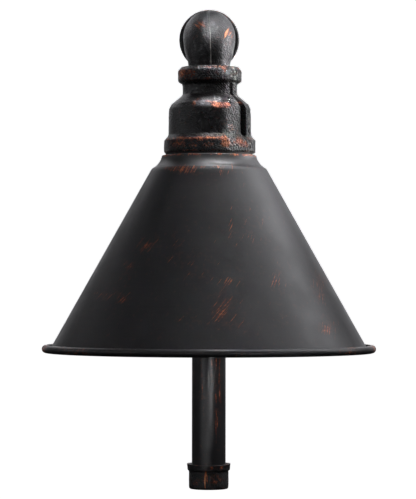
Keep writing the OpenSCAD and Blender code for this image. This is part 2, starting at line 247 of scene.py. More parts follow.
class Net:
    """Short names for building a node tree."""

    def __init__(self, nt):
        self.nt = nt

    def node(self, kind, **props):
        n = self.nt.nodes.new(kind)
        for k, v in props.items():
            setattr(n, k, v)
        return n

    def plug(self, sock, val):
        if isinstance(val, bpy.types.NodeSocket):
            self.nt.links.new(val, sock)
        else:
            sock.default_value = val

    def math(self, op, a, b=0.0, clamp=False):
        n = self.node("ShaderNodeMath", operation=op, use_clamp=clamp)
        self.plug(n.inputs[0], a)
        self.plug(n.inputs[1], b)
        return n.outputs[0]

    def add(self, a, b):
        return self.math("ADD", a, b)

    def times(self, a, b):
        return self.math("MULTIPLY", a, b)

    def mix(self, f, a, b):
        n = self.node("ShaderNodeMix", data_type="RGBA")
        self.plug(n.inputs[0], f)
        self.plug(n.inputs[6], a)
        self.plug(n.inputs[7], b)
        return n.outputs[2]

    def lerp(self, f, a, b):
        n = self.node("ShaderNodeMix", data_type="FLOAT")
        self.plug(n.inputs[0], f)
        self.plug(n.inputs[2], a)
        self.plug(n.inputs[3], b)
        return n.outputs[0]

    def ramp(self, x, lo, hi, a=0.0, b=1.0):
        n = self.node("ShaderNodeMapRange", interpolation_type="SMOOTHSTEP")
        self.plug(n.inputs[0], x)
        n.inputs[1].default_value, n.inputs[2].default_value = lo, hi
        n.inputs[3].default_value, n.inputs[4].default_value = a, b
        return n.outputs[0]

    def attr(self, name):
        return self.node("ShaderNodeAttribute", attribute_name=name).outputs["Fac"]

    def mm(self):
        """Object coordinates in mm."""
        tc = self.node("ShaderNodeTexCoord")
        mp = self.node("ShaderNodeMapping")
        mp.inputs["Scale"].default_value = [1.0 / MM] * 3
        self.nt.links.new(tc.outputs["Object"], mp.inputs["Vector"])
        return mp.outputs[0]

    def polar(self, cy, radius, su, sv, shear=0.0, flat=False):
        """(arc length, height) in mm round a vertical axis at y = cy, scaled by su and sv, for streaks.

        flat takes x instead of the arc, with the streaks leaning towards the middle from both sides."""
        p = self.mm()
        sx = self.node("ShaderNodeSeparateXYZ")
        self.plug(sx.inputs[0], p)
        y = self.math("SUBTRACT", cy, sx.outputs[1])
        lean = self.times(sx.outputs[2], shear)
        if flat:
            u = sx.outputs[0]
            lean = self.times(self.times(lean, self.math("SIGN", u)), -1.0)
        else:
            u = self.times(self.math("ARCTAN2", sx.outputs[0], y), radius)
        c = self.node("ShaderNodeCombineXYZ")
        self.plug(c.inputs[0], self.times(self.add(u, lean), su))
        self.plug(c.inputs[1], self.times(sx.outputs[2], sv))
        return c.outputs[0]

    def noise(self, vec, scale, detail=2.0, rough=0.5):
        n = self.node("ShaderNodeTexNoise")
        self.plug(n.inputs["Vector"], vec)
        n.inputs["Scale"].default_value = scale
        n.inputs["Detail"].default_value = detail
        n.inputs["Roughness"].default_value = rough
        return n.outputs[0]

    def bumpy(self, height, dist, strength=1.0, normal=None):
        n = self.node("ShaderNodeBump")
        n.inputs["Strength"].default_value = strength
        n.inputs["Distance"].default_value = dist
        self.plug(n.inputs["Height"], height)
        if normal is not None:
            self.plug(n.inputs["Normal"], normal)
        return n.outputs[0]


COPPER = (0.52, 0.15, 0.06, 1)
COPPER_DEEP = (0.15, 0.032, 0.018, 1)
COPPER_PALE = (0.9, 0.34, 0.15, 1)
HAZE = (0.05, 0.019, 0.014, 1)
# pale: worn metal, and painted glints and highlights where the light falls
BARE_AND_GLINT = (0.42, 0.4, 0.37, 1)
BLACK = ((0.007, 0.0068, 0.0078, 1), (0.0108, 0.0102, 0.0112, 1))
# where each kind of wear begins and is complete, on the scale of its own noise
STREAKS, SPECKS, PALE, HAZY = (0.755, 0.8), (0.685, 0.745), (0.86, 1.02), (0.6, 0.72)
COPPER_METAL, COPPER_ROUGH = 0.3, 0.45
# the skin's specular level, and the lower one that paints shade beside the ribs
SKIN_GLOSS, PAINTED_SHADE_GLOSS = 0.62, 0.05


def bronze(name, cy, radius, grain=1.0, streak=(1.6, 0.1), shear=0.0, flat=False, fine=0.5, rough=0.4,
           haze=0.8, specks=0.8, broken=0.25):
    """Oil-rubbed bronze: a black skin over copper.

    The mesh carries masks: rub, where the black is worn through in streaks; edge, where its edges are
    worn to specks; bare_and_glint, where it is pale, partly worn metal and partly painted glints and
    highlights where the light falls; painted_shade, where the gloss is turned down to paint shade beside
    the ribs; and pebble, the strength of the cast grain. specks lets specks into rubbed places, and broken
    breaks the streaks up."""
    m, nt, bsdf = new_mat(name)
    k = Net(nt)
    vec = k.mm()
    cloud = k.noise(vec, 0.09, 3.0, 0.6)
    tone = k.mix(k.ramp(cloud, 0.35, 0.68), *BLACK)
    lines = k.polar(cy, radius, *streak, shear, flat)
    scratch = k.noise(lines, 1.0, 1.0 + 8.0 * broken, 0.62)
    speck = k.noise(vec, 2.1, 3.0, 0.7)
    blotch = k.noise(vec, 0.45, 2.0, 0.6)
    rub, edge = k.attr("rub"), k.attr("edge")
    # streaks, thin and few at the margin of a rubbed place and close together in its middle
    a = k.add(scratch, k.times(rub, 0.2))
    a = k.add(a, k.times(k.math("SUBTRACT", speck, 0.5), broken))
    worn = k.ramp(a, *STREAKS)
    # specks along the edges, in clusters
    b = k.add(k.times(speck, 0.7), k.times(blotch, 0.3))
    worn_most = k.math("MAXIMUM", edge, k.times(rub, specks))
    b = k.add(b, k.times(worn_most, 0.24))
    worn_edge = k.ramp(b, *SPECKS)
    copper = k.math("MAXIMUM", worn, worn_edge, clamp=True)
    hue = k.noise(vec, 0.8, 2.0, 0.5)
    warm = k.mix(k.ramp(hue, 0.42, 0.6), COPPER_DEEP, COPPER)
    warm = k.mix(k.ramp(a, *PALE), warm, COPPER_PALE)
    # a brown haze round every worn place
    hz = k.add(blotch, k.times(k.math("MAXIMUM", rub, edge), 0.18))
    tone = k.mix(k.times(k.ramp(hz, *HAZY), haze), tone, HAZE)
    # pale where the mesh says so: partly worn metal, partly painted glints and highlights where the light
    # falls
    tone = k.mix(k.attr("bare_and_glint"), tone, BARE_AND_GLINT)
    k.plug(bsdf.inputs["Base Color"], k.mix(copper, tone, warm))
    k.plug(bsdf.inputs["Metallic"], k.times(copper, COPPER_METAL))
    r = k.lerp(k.ramp(cloud, 0.3, 0.7), rough - 0.04, rough + 0.05)
    r = k.lerp(copper, r, COPPER_ROUGH)
    k.plug(bsdf.inputs["Roughness"], r)
    # the skin is thick and dull where it pooled beside the ribs
    # painted shade: beside the ribs the gloss is turned down, so the hollow there reads dark
    k.plug(bsdf.inputs["Specular IOR Level"], k.lerp(k.attr("painted_shade"), SKIN_GLOSS, PAINTED_SHADE_GLOSS))
    n = None
    if grain > 0:
        pebble = k.times(k.noise(vec, 1.25, 2.0, 0.6), k.attr("pebble"))
        n = k.bumpy(pebble, 0.0014, 0.95 * grain)
    if fine > 0:
        n = k.bumpy(scratch, 0.00012, fine, n)
    if n is not None:
        k.plug(bsdf.inputs["Normal"], n)
    return m


def simple(name, c0, c1, metallic, rough, scale=0.6, bump_scale=4.0, bump_dist=0.00004, bump_str=0.4,
           streak=None, coat=0.0):
    """A mottled plain material: two tones, roughness that varies, and fine relief."""
    m, nt, bsdf = new_mat(name)
    k = Net(nt)
    vec = k.mm()
    cloud = k.noise(vec, scale, 3.0, 0.6)
    k.plug(bsdf.inputs["Base Color"], k.mix(k.ramp(cloud, 0.35, 0.65), (*c0, 1), (*c1, 1)))
    bsdf.inputs["Metallic"].default_value = metallic
    k.plug(bsdf.inputs["Roughness"], k.lerp(k.ramp(cloud, 0.3, 0.7), rough * 0.85, rough * 1.15))
    if coat:
        bsdf.inputs["Coat Weight"].default_value = coat
        bsdf.inputs["Coat Roughness"].default_value = 0.12
    if streak:
        h = k.noise(k.polar(HEAD, 10.0, *streak), 1.0, 3.0, 0.6)
    else:
        h = k.noise(vec, bump_scale, 3.0, 0.6)
    k.plug(bsdf.inputs["Normal"], k.bumpy(h, bump_dist, bump_str))
    return m


def glass(name, tint, ior, rough):
    m, nt, bsdf = new_mat(name)
    k = Net(nt)
    vec = k.mm()
    wave = k.noise(vec, 0.12, 2.0, 0.5)
    k.plug(bsdf.inputs["Base Color"], k.mix(k.ramp(wave, 0.4, 0.6), (*tint, 1), (0.97, 0.985, 0.98, 1)))
    bsdf.inputs["Transmission Weight"].default_value = 1.0
    bsdf.inputs["IOR"].default_value = ior
    k.plug(bsdf.inputs["Roughness"], k.lerp(wave, rough, rough * 2.0))
    k.plug(bsdf.inputs["Normal"], k.bumpy(wave, 0.0004, 0.25))
    return m


M_CAST = bronze("cast_bronze_head", HEAD, 20.0, streak=(1.3, 0.4), shear=0.5, rough=0.3)
M_ELBOW = bronze("cast_bronze_elbow", HEAD, 13.0, grain=0.42, streak=(1.5, 0.28), shear=0.75, flat=True,
                 rough=0.33, specks=0.25)
M_REAR = bronze("cast_bronze_rear", 0.0, 12.0, grain=0.9, streak=(1.2, 0.3), shear=0.4, rough=0.32)
M_SHADE = bronze("spun_bronze", HEAD, 55.0, grain=0.0, streak=(1.9, 0.11), shear=-0.72, fine=0.12, rough=0.44,
                 haze=0.35, specks=0.0, broken=0.06)
M_PIPE = bronze("pipe_bronze", 0.0, PIPE_R, grain=0.0, streak=(1.7, 0.09), fine=0.0, rough=0.38, specks=0.3,
                broken=0.12)
M_ARM = bronze("arm_bronze", 0.0, PIPE_R, grain=0.15, streak=(0.5, 0.5), fine=0.3, rough=0.38)
M_COLLAR = bronze("collar_bronze", 0.0, 10.8, grain=0.35, streak=(1.6, 0.2), fine=0.4, rough=0.36)

M_RUBBER = simple("black_rubber", (0.01, 0.01, 0.01), (0.022, 0.021, 0.02), 0.0, 0.72)
M_ALLOY = simple("turned_alloy", (0.5, 0.5, 0.51), (0.66, 0.66, 0.67), 1.0, 0.34, scale=0.2,
                 bump_dist=0.00003, bump_str=0.5, streak=(0.1, 3.5))
M_CERAMIC = simple("glazed_ceramic", (0.78, 0.75, 0.68), (0.86, 0.84, 0.79), 0.0, 0.3, scale=0.5,
                   bump_scale=1.6, bump_dist=0.00006, bump_str=0.35, coat=0.4)
M_BRASS = simple("sprung_brass", (0.62, 0.42, 0.16), (0.78, 0.58, 0.26), 1.0, 0.3)
M_STEEL = simple("plated_screw", (0.48, 0.49, 0.5), (0.64, 0.64, 0.62), 1.0, 0.32, scale=1.2)
M_SEAL = simple("red_silicone", (0.34, 0.05, 0.03), (0.46, 0.08, 0.05), 0.0, 0.5, scale=1.0)
M_LEAD = simple("lead_jacket", (0.01, 0.01, 0.01), (0.03, 0.029, 0.028), 0.0, 0.48, scale=1.4)
M_SPLICE = simple("crimp_sleeve", (0.22, 0.025, 0.02), (0.33, 0.05, 0.04), 0.0, 0.38, scale=0.9)
M_PIN = simple("lamp_pin", (0.55, 0.54, 0.51), (0.7, 0.69, 0.66), 1.0, 0.22, scale=1.5)
M_TUNGSTEN = simple("drawn_tungsten", (0.2, 0.2, 0.22), (0.34, 0.34, 0.36), 1.0, 0.35, scale=2.0)
M_SETSCREW = simple("black_oxide", (0.02, 0.019, 0.02), (0.045, 0.042, 0.04), 0.8, 0.4, scale=1.5)
M_GLASS = glass("pressed_glass", (0.93, 0.97, 0.965), 1.48, 0.02)
M_QUARTZ = glass("lamp_quartz", (0.95, 0.97, 0.98), 1.46, 0.02)

for node, mat in (("shade_gasket", M_RUBBER), ("lamp_adapter", M_ALLOY), ("adapter_washer", M_RUBBER),
                  ("lampholder", M_CERAMIC), ("socket_contacts", M_BRASS), ("holder_screws", M_STEEL),
                  ("jar_seal", M_SEAL), ("head_leads", M_LEAD), ("lamp_pins", M_PIN),
                  ("lamp_supports", M_TUNGSTEN), ("stem_leads", M_LEAD), ("wire_splices", M_SPLICE)):
    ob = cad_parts[node]
    ob.data.materials.clear()
    ob.data.materials.append(mat)


# ---- masks of wear
def spot(v, x, z, before, wide, tall, lean=0.0):
    """A soft elliptical patch at (x, z), in mm, on what stands in front of y = before."""
    c, s = math.cos(math.radians(lean)), math.sin(math.radians(lean))
    dx, dz = v[:, 0] - x, v[:, 2] - z
    a, b = dx * c + dz * s, -dx * s + dz * c
    return np.exp(-((a / wide) ** 2 + (b / tall) ** 2)) * (v[:, 1] < before)


def wear(v, before, spots):
    """Sum of patches, each (x, z, half width, half height, weight) and, where it leans, its lean."""
    total = 0.0
    for x, z, wide, tall, weight, *lean in spots:
        total = total + weight * spot(v, x, z, before, wide, tall, *lean)
    return total


# ---- reducing coupling
def rib_relief(R, Z, T):
    """Height of the ribs and of the hollows beside them, and a mask of painted shade in the hollow beside
    each rib.
    """
    top, low = COUP_TOP, COUP_Z
    wobble = 0.55 * noise(np.column_stack([R * 0, Z, R * 0]), 1.9, 5)
    # a rib keeps its width in mm, so its angle grows where the radius falls
    k = 20.6 / np.maximum(R, 13.6)
    tall = 1 - smooth(low + 22.5, low + 29.0, Z)
    along = smooth(low + 6.0, low + 8.6, Z) * (1 - smooth(top - 9.2, top - 7.9, Z))
    height, painted_shade = 0.0, 0.0
    for turn in RIB_TURNS:
        d = (T - turn + 180) % 360 - 180 + wobble * (1.0 + 5.0 * smooth(low + 24, low + 30, Z))
        left = smooth((-6.2 - 3.0 * tall) * k, -4.6 * k, d)
        right = 1 - smooth(4.2 * k, 7.0 * k, d)
        groove = bump(d, (-7.0 - 2.9 * tall) * k, (0.8 + 0.2 * tall) * k)
        height = height + along * ((0.75 + 0.8 * tall) * left * right - 0.75 * groove)
        # painted shade: a dull patch in the hollow left of each rib, where its flank turns from the light
        beside = smooth(-11.0 * k, -9.2 * k, d) * (1 - smooth(-4.8 * k, -4.0 * k, d))
        painted_shade = painted_shade + along * beside * (0.25 + 0.75 * tall)
    return height, painted_shade


def coupling_rub(v, R):
    rub = wear(v, HEAD, (
        # top band
        (-10.5, 216, 4.8, 2.8, 1.25), (-14.5, 216, 1.6, 3, 1.2), (0.5, 218.6, 7, 0.8, 1),
        (7, 217.5, 1.6, 1.8, 1.3), (12, 216, 2.5, 2, 0.8), (0, 213, 9, 0.8, 0.9),
        # shoulder
        (-7, 201.4, 2, 1, 1, 40), (-4.5, 202.8, 2.2, 0.5, 0.5, 10), (3, 200.3, 3.4, 1.2, 1.5, -15),
        (-1, 201.4, 2.2, 0.6, 0.6), (8, 200.4, 2.4, 1.2, 1.2, -20), (14, 201.4, 1.8, 1, 1),
        (3.5, 199, 3, 1.4, 1.1), (-7.8, 199.8, 1.4, 1.4, 0.9, 30), (9, 199, 2.2, 1.4, 1),
        # body, low on the right
        (8, 191, 3.5, 3, 0.6), (11.5, 187, 3, 3, 0.6),
        # bottom band
        (6.8, 181.8, 2, 3, 1.5, 10), (9.2, 180.5, 1.6, 2.5, 1.4, 10), (14.3, 181.8, 2.4, 2.2, 1.5),
        (17.5, 180, 2.4, 2.2, 1.1), (-8, 180.5, 7, 2.6, 0.85), (-17, 180.5, 4, 2.8, 0.9),
        (0.5, 183.2, 7, 0.8, 1.2), (-12, 183.2, 8, 0.8, 1), (1, 180, 5, 2.5, 0.6)))
    # the same kind of wear goes on round the back
    patches = np.clip(noise(v, 6.5, 11) * 1.2 - 0.25, 0, 1)
    return rub + (v[:, 1] > HEAD) * patches * (0.4 + 0.6 * smooth(21, 22.5, R))


def coupling_painted_glint(v, R, Z, T, painted_shade):
    """Painted glints: pale grains on the right, where the light falls, on the small band, large band and rib.
    """
    top, low = COUP_TOP, COUP_Z
    grains = smooth(0.05, 0.65, noise(v, 0.85, 71))
    bands = smooth(34, 44, T) * (1 - smooth(62, 78, T)) * (
        (Z > top - 8.0) + 0.6 * (R > 21.5) * smooth(50, 60, T))
    ribs = 0.5 * smooth(30, 42, T) * (1 - smooth(66, 80, T)) * (Z < top - 8.0) * ((T > 57) | (Z > low + 28.0))
    return grains * np.clip(bands + ribs, 0, 1) * (1 - np.clip(painted_shade, 0, 1))


def coupling():
    top, low = COUP_TOP, COUP_Z
    outer = [(10.46, top - 0.6), (10.9, top), (14.3, top), (15.9, top - 1.9), (15.9, top - 7.0),
             (15.0, top - 7.9), (14.1, top - 8.2), (13.65, top - 9.3), (13.55, top - 13.6),
             (14.4, top - 14.7), (16.9, top - 16.7), (19.2, top - 18.6), (20.35, top - 20.9),
             (20.55, top - 24.0), (20.65, low + 9.3), (21.2, low + 8.2), (22.85, low + 6.4),
             (22.85, low + 0.7), (22.2, low), (17.9, low), (17.6, low + 0.3)]
    radii = [0, .3, .9, 1.6, .8, .6, .8, 1.4, 2.4, 1.8, 3, 3, 2.6, 4, 1.2, .7, .9, .5, .5, .3, 0]
    prof = resample(rounded(outer, radii), 0.31)
    bore = resample([(17.6, low + 8), (17.6, low + 16), (15.6, low + 16.2), (WATERWAY_R, low + 23),
                     (WATERWAY_R, top - 12.9), (10.44, top - 12.7)], 2.2)
    ring = np.vstack([prof, bore])
    # more columns where the ribs' flanks are
    th = crowded(lambda t: 1.0 + 2.2 * sum(bump(t, c, 9.0) for c in RIB_TURNS) + 0.35 * bump(t, 0, 70), 460)
    v = around(ring, th, 0.0, HEAD)
    R, Z, T = ring_coords(ring, th)
    T = np.degrees(T)
    out = np.repeat(np.arange(len(ring)) < len(prof), len(th))
    # how far each outer point may move: nothing at the mouths, where the fits are
    free = out * smooth(10.9, 11.9, R) * np.where(Z < low + 0.15, smooth(18.0, 19.5, R), 1.0)
    disp, painted_shade = rib_relief(R, Z, T)
    # the rib runs out low on the large band
    disp = np.where(R > 21.0, disp * 0.35, disp)
    # slanting file marks on the neck, right of the front
    marks = spot(v, 8.0, 210.5, HEAD, 4.6, 3.4) + 0.5 * spot(v, 12.0, 206.5, HEAD, 4.0, 3.0)
    disp = disp + 0.2 * marks * np.sin((v[:, 0] + 1.1 * v[:, 2]) * 4.4 + 1.3 * noise(v, 2.5, 61))
    nrm = np.column_stack([np.sin(np.radians(T)), -np.cos(np.radians(T)), 0 * T])
    # the sand was coarser on the side of the rib and behind
    coarse = smooth(8, 38, T) + smooth(70, 110, np.abs(T)) + 0.5 * (Z > top - 8.5) + 0.5 * (R > 21)
    coarse = np.clip(coarse, 0, 1)
    v2 = v + nrm * (free * (disp + (0.35 + 0.75 * coarse) * cast_grain(v, 1)))[:, None]
    # the grain may stand up to 0.15 mm proud of the CAD's large band
    proud_r = 22.95
    rr = np.hypot(v2[:, 0], v2[:, 1] - HEAD)
    sc = np.where(rr > proud_r, proud_r / np.maximum(rr, 1e-6), 1.0)
    v2[:, 0] *= sc
    v2[:, 1] = HEAD + (v2[:, 1] - HEAD) * sc
    v2[:, 2] = np.where(out & (Z > top - 3) & (R < 15), np.minimum(v2[:, 2], top), v2[:, 2])
    # the casting's outside is a little off the axis of its threads
    v2[:, 0] += 0.3 * free
    edge = free * np.maximum.reduce([
        bump(Z, top - 0.9, 0.9) * (R > 13.6) * 0.95, bump(Z, top - 7.3, 0.7) * (R > 14) * 0.6,
        bump(Z, low + 6.9, 0.9) * (R > 21.0) * 1.0, bump(Z, low + 0.6, 0.6) * (R > 21.5) * 0.75,
        0.35 * bump(Z, low + 3.5, 3.0) * (R > 22), 0.45 * bump(Z, top - 4.0, 3.2) * (R > 15)])
    edge = edge * (0.72 + 0.5 * noise(v, 4.0, 31))
    # the pale mask here is painted glints on the right, where the light falls; the gloss mask is painted
    # shade beside the ribs
    masks = {"rub": free * np.clip(coupling_rub(v, R), 0, 1.8), "edge": edge, "pebble": 0.3 + 0.95 * coarse,
             "painted_shade": painted_shade, "bare_and_glint": 0.95 * free * coupling_painted_glint(v, R, Z, T, painted_shade)}
    make("coupling_body", v2, turned_faces(ring, th), "head", M_CAST,
         masks, ("reducing_coupling",))


# ---- swept fittings
class Elbow:
    """The rings of an elbow: (point, side, up, radius, free), in order round the section of its wall.

    Its upright leg stands at y = leg_y; its level leg runs back (way 1) or forward (way -1)."""

    def __init__(self, leg_y, bend, way):
        self.leg_y, self.bend, self.way = leg_y, bend, way
        self.rings = []

    def upright(self, z, r, free):
        self.rings.append((np.array([0, self.leg_y, z]), X_AXIS, -self.way * Y_AXIS, r, free))

    def level(self, y, r, free):
        self.rings.append((np.array([0, y, ARM_Z]), X_AXIS, Z_AXIS, r, free))

    def bent(self, angle, r, free):
        c, s = math.cos(math.radians(angle)), math.sin(math.radians(angle))
        y = self.leg_y + self.way * self.bend * (1 - c)
        point = np.array([0, y, ARM_Z - self.bend + self.bend * s])
        self.rings.append((point, X_AXIS, np.array([0, -self.way * c, s]), r, free))


def swept(name, stations, th, body, mat, replaces, seam, rubs, grain, crown=0.0):
    """A closed tube through an elbow's rings.

    seam(V, T, R, F) gives its height and its pale line, partly worn metal and partly a painted
    highlight; rubs(V, R) gives the masks rub and edge."""
    V, F, RR, N = [], [], [], []
    for p, side, up, r, free in stations:
        d = np.outer(np.sin(th), side) + np.outer(np.cos(th), up)
        rise = crown * free * (r < 13.3) * float(smooth(0.0, 1.0, up[2]))
        V.append(p + (d + np.outer(np.maximum(np.cos(th), 0) * rise, up)) * r)
        N.append(d)
        F.append(np.full(len(th), free))
        RR.append(np.full(len(th), r))
    V, N, F, RR = np.vstack(V), np.vstack(N), np.concatenate(F), np.concatenate(RR)
    T = np.tile(th, len(stations))
    seam_height, bare_and_glint = seam(V, T, RR, F)
    disp = F * grain * cast_grain(V, 2) + seam_height
    # the front elbow's band keeps its size
    disp = np.where(RR > 15.0, np.minimum(disp, 15.28 - RR), disp)
    rub, edge = rubs(V, RR)
    make(name, V + N * disp[:, None], turned_faces(stations, th), body, mat,
         {"rub": F * np.clip(rub, 0, 3.0), "edge": F * edge, "bare_and_glint": bare_and_glint}, replaces)


def front_elbow():
    bend, face, body_r = 13.0, BUSH_FACE, 13.1
    neck_low = COUP_TOP - 13.1 + 0.5
    corner = ARM_Z - bend
    e = Elbow(HEAD, bend, 1)
    # outside: neck, flare, bend, leg, band
    for z in np.linspace(neck_low, 219.0, 10):
        e.upright(z, 10.4 if z > neck_low + 0.6 else 10.0, 0.0)
    for z in np.linspace(219.4, corner, 12):
        e.upright(z, 10.4 + 0.35 * float(smooth(220.2, corner, z)), float(smooth(219.6, 221.0, z)))
    for a in np.linspace(0, 90, 76)[1:]:
        swell = 1 - (1 - min(1.0, math.sin(math.radians(a)))) ** 1.85
        e.bent(a, 10.75 + 2.35 * swell, 1.0)
    band_y = face - 6.3
    leg_end = HEAD + bend
    for y in np.linspace(leg_end, band_y - 0.9, 6)[1:]:
        e.level(y, body_r, 1.0)
    prof = rounded([(band_y - 0.9, body_r), (band_y, 13.2), (band_y + 0.2, 14.7), (band_y + 1.0, 15.3),
                    (face - 0.9, 15.3), (face, 14.4), (face, 11.4), (face - 0.8, 10.62)],
                   [0, .6, .3, .8, .9, .5, .3, 0])
    for y, r in resample(prof, 0.42):
        e.level(y, r, 0.0 if r < 12.2 else 1.0)
    # inside: socket, waterway, bend, neck's bore
    for y, r in ((face - 11.9, 10.6), (face - 12.0, WATERWAY_R), (leg_end + 1.5, WATERWAY_R)):
        e.level(y, r, 0.0)
    for a in np.linspace(90, 0, 13):
        e.bent(a, WATERWAY_R, 0.0)
    e.upright(neck_low + 0.3, WATERWAY_R, 0.0)
    e.upright(neck_low, 7.9, 0.0)
    th = crowded(lambda t: 1.0 + 3.5 * bump(t, 1.0, 6.0) + 0.3 * bump(t, 0, 60), 420)

    def seam(V, T, R, F):
        x = R * np.sin(T)
        height = V[:, 2]
        upright = V * Z_AXIS
        # the parting line drifts a little to the right on its way down
        xs = -0.15 + 0.85 * smooth(249.5, 221.5, height) + 0.1 * noise(upright, 3.0, 8)
        on = (np.cos(T) > 0) * F * (V[:, 1] < face - 6.5)
        broken = 0.75 + 0.45 * noise(upright, 1.1, 9)
        ridge = bump(x, xs, 0.24) * broken * (0.18 + 0.16 * smooth(241, 230, height))
        groove = bump(x, xs - 0.48, 0.28) * (0.3 * smooth(230, 243, height) + 0.06)
        # a pale line along the parting line's ridge, stronger low down: partly worn metal, partly a painted
        # highlight
        bare_and_glint = bump(x, xs, 0.26) * np.clip(broken, 0, 1) * (0.3 + 0.7 * smooth(241, 236, height))
        return on * (ridge - groove), on * bare_and_glint

    def rubs(V, R):
        front = HEAD + 3.0
        rub = wear(V, front, (
            (-4.6, 241, 2.8, 2.6, 1), (-2.7, 240.2, 0.45, 1.8, 1.5, 35),
            (-4, 240.8, 0.4, 2, 1.2, 38), (-5.3, 241.6, 0.4, 1.8, 1.2, 38),
            (-6.3, 240, 0.35, 2.4, 1.1, 38), (-4.9, 238.9, 0.35, 2.2, 1.1, 38),
            (-7.4, 241, 0.35, 1.8, 0.9, 38), (-5.6, 236, 1.2, 2.2, 0.8),
            (8.7, 237, 0.6, 2.7, 2.7, -26), (7.9, 234.6, 0.45, 1.7, 1.9, -26),
            (10.3, 236.2, 0.4, 2, 1.7, -24), (11.3, 235, 0.4, 2, 1.6, -20),
            (9.4, 237, 2, 3, 0.5), (6.5, 229, 3, 3, 0.35),
            (-7.5, 230, 2, 3, 0.3)))
        rub = rub + (V[:, 1] > front) * np.clip(noise(V, 6.0, 12) * 1.1 - 0.3, 0, 1)
        y = V[:, 1]
        band = np.maximum(bump(y, face - 0.8, 1.0) * (R > 14), bump(y, band_y + 0.8, 0.9) * (R > 14.3))
        return rub, band * (0.6 + 0.5 * noise(V, 3.5, 5)) * 0.9

    swept("elbow_front", e.rings, th, "head", M_ELBOW, ("front_elbow",), seam, rubs, grain=0.55, crown=0.045)


def rear_elbow():
    body_r, socket_r, depth = 11.0, 9.25, 10.2
    low = ARM_Z - REAR_REACH
    e = Elbow(0.0, 12.0, -1)
    prof = rounded([(0.8, 9.26), (0, 10.0), (0, 11.8), (0.8, 12.4), (4.8, 12.4), (5.5, 11.9), (5.7, 11.1),
                    (7.0, body_r)], [0, .3, .6, .8, .8, .5, .5, 0])
    prof = resample(prof, 0.42)
    for z, r in prof:
        e.upright(low + z, r, 0.0 if r < 10.6 else 1.0)
    for a in np.linspace(0, 90, 50):
        e.bent(a, body_r, 1.0)
    for y, r in prof[::-1]:
        e.level(-REAR_REACH + y, r, 0.0 if r < 10.6 else 1.0)
    e.level(-REAR_REACH + depth, socket_r, 0)
    e.level(-REAR_REACH + depth + 0.05, PIPE_BORE, 0)
    for a in np.linspace(90, 0, 13):
        e.bent(a, PIPE_BORE, 0.0)
    e.upright(low + depth + 0.05, PIPE_BORE, 0)
    e.upright(low + depth, socket_r, 0)

    def seam(V, T, R, F):
        x = R * np.sin(T)
        on = (np.cos(T) > 0) * F * (R < 11.6)
        # a pale line along the parting line, partly worn metal and partly a painted highlight
        return on * bump(x, 0.1, 0.28) * 0.16, on * bump(x, 0.1, 0.26) * 0.4

    def rubs(V, R):
        rub = np.clip(noise(V, 6.0, 41) * 1.3 - 0.2, 0, 1)
        return rub, (R > 11.9) * (0.45 + 0.5 * noise(V, 3.5, 5)) * 0.9

    swept("elbow_rear", e.rings, circle(260), "post", M_REAR, ("rear_elbow",), seam, rubs, grain=0.8)


def bushing():
    inner, face, bore_r, thread_r = BUSH_FACE - 10.0, BUSH_FACE + 0.3, 9.25, 10.53
    th = circle(300)
    corner_r, trimmed_r = 12.6, 12.35
    hexagon = np.minimum(corner_r * math.cos(math.pi / 6) / np.cos(hex_fold(th)), trimmed_r)
    # (y, radius) of the round rings, and (y, None, cap) of the hexagon's, whose ends are turned down
    rings = [(inner, 10.2, 0), (inner + 0.4, thread_r, 0), (face - 0.4, thread_r, 0), (face, 10.2, 0),
             (face, None, 11.7), (face + 0.15, None, 12.1), (face + 0.9, None, corner_r),
             (face + 3.4, None, corner_r), (face + 4.15, None, 12.05), (face + 4.45, None, 11.4),
             (face + 4.5, 9.9, 0), (face + 4.2, 9.26, 0), (inner + 0.1, bore_r, 0)]
    V, edge = [], []
    for y, r, cap in rings:
        hexed = r is None
        V.append(level_ring(np.minimum(hexagon, cap) if hexed else np.full(len(th), r), y, ARM_Z, th))
        edge.append(np.where(hexagon > 12.0, 0.8, 0.15) if hexed else np.zeros(len(th)))
    V = np.vstack(V)
    make("bushing_hex", V, grid_faces(len(rings), len(th)), "post", M_REAR,
         {"rub": np.clip(noise(V, 5.0, 9) - 0.2, 0, 1), "edge": np.concatenate(edge)}, ("reducing_bushing",),
         sharp=35)


# ---- pipes
def pipe_section(start, end, step):
    """(along, radius) round the section of a pipe's wall, its ends chamfered."""
    prof = rounded([(start, PIPE_BORE), (start, PIPE_END_R), (start + .5, PIPE_R), (end - .5, PIPE_R),
                    (end, PIPE_END_R), (end, PIPE_BORE)], [0, .2, .2, .2, .2, 0])
    return np.vstack([resample(prof, step), [(end - 1, PIPE_BORE), (start + 1, PIPE_BORE)]])


def arm():
    ring = pipe_section(BUSH_FACE - 9.0, -14.0, 0.8)
    th = circle(200)
    V = np.vstack([level_ring(r, y, ARM_Z, th) for y, r in ring])
    rub = np.clip(noise(V * np.array([1, 0.3, 1]), 3.0, 15) * 1.2 - 0.15, 0, 1)
    make("arm_pipe", V, grid_faces(len(ring), len(th)), "post", M_ARM,
         {"rub": rub, "edge": 0 * rub}, ("arm_nipple",), sharp=50)


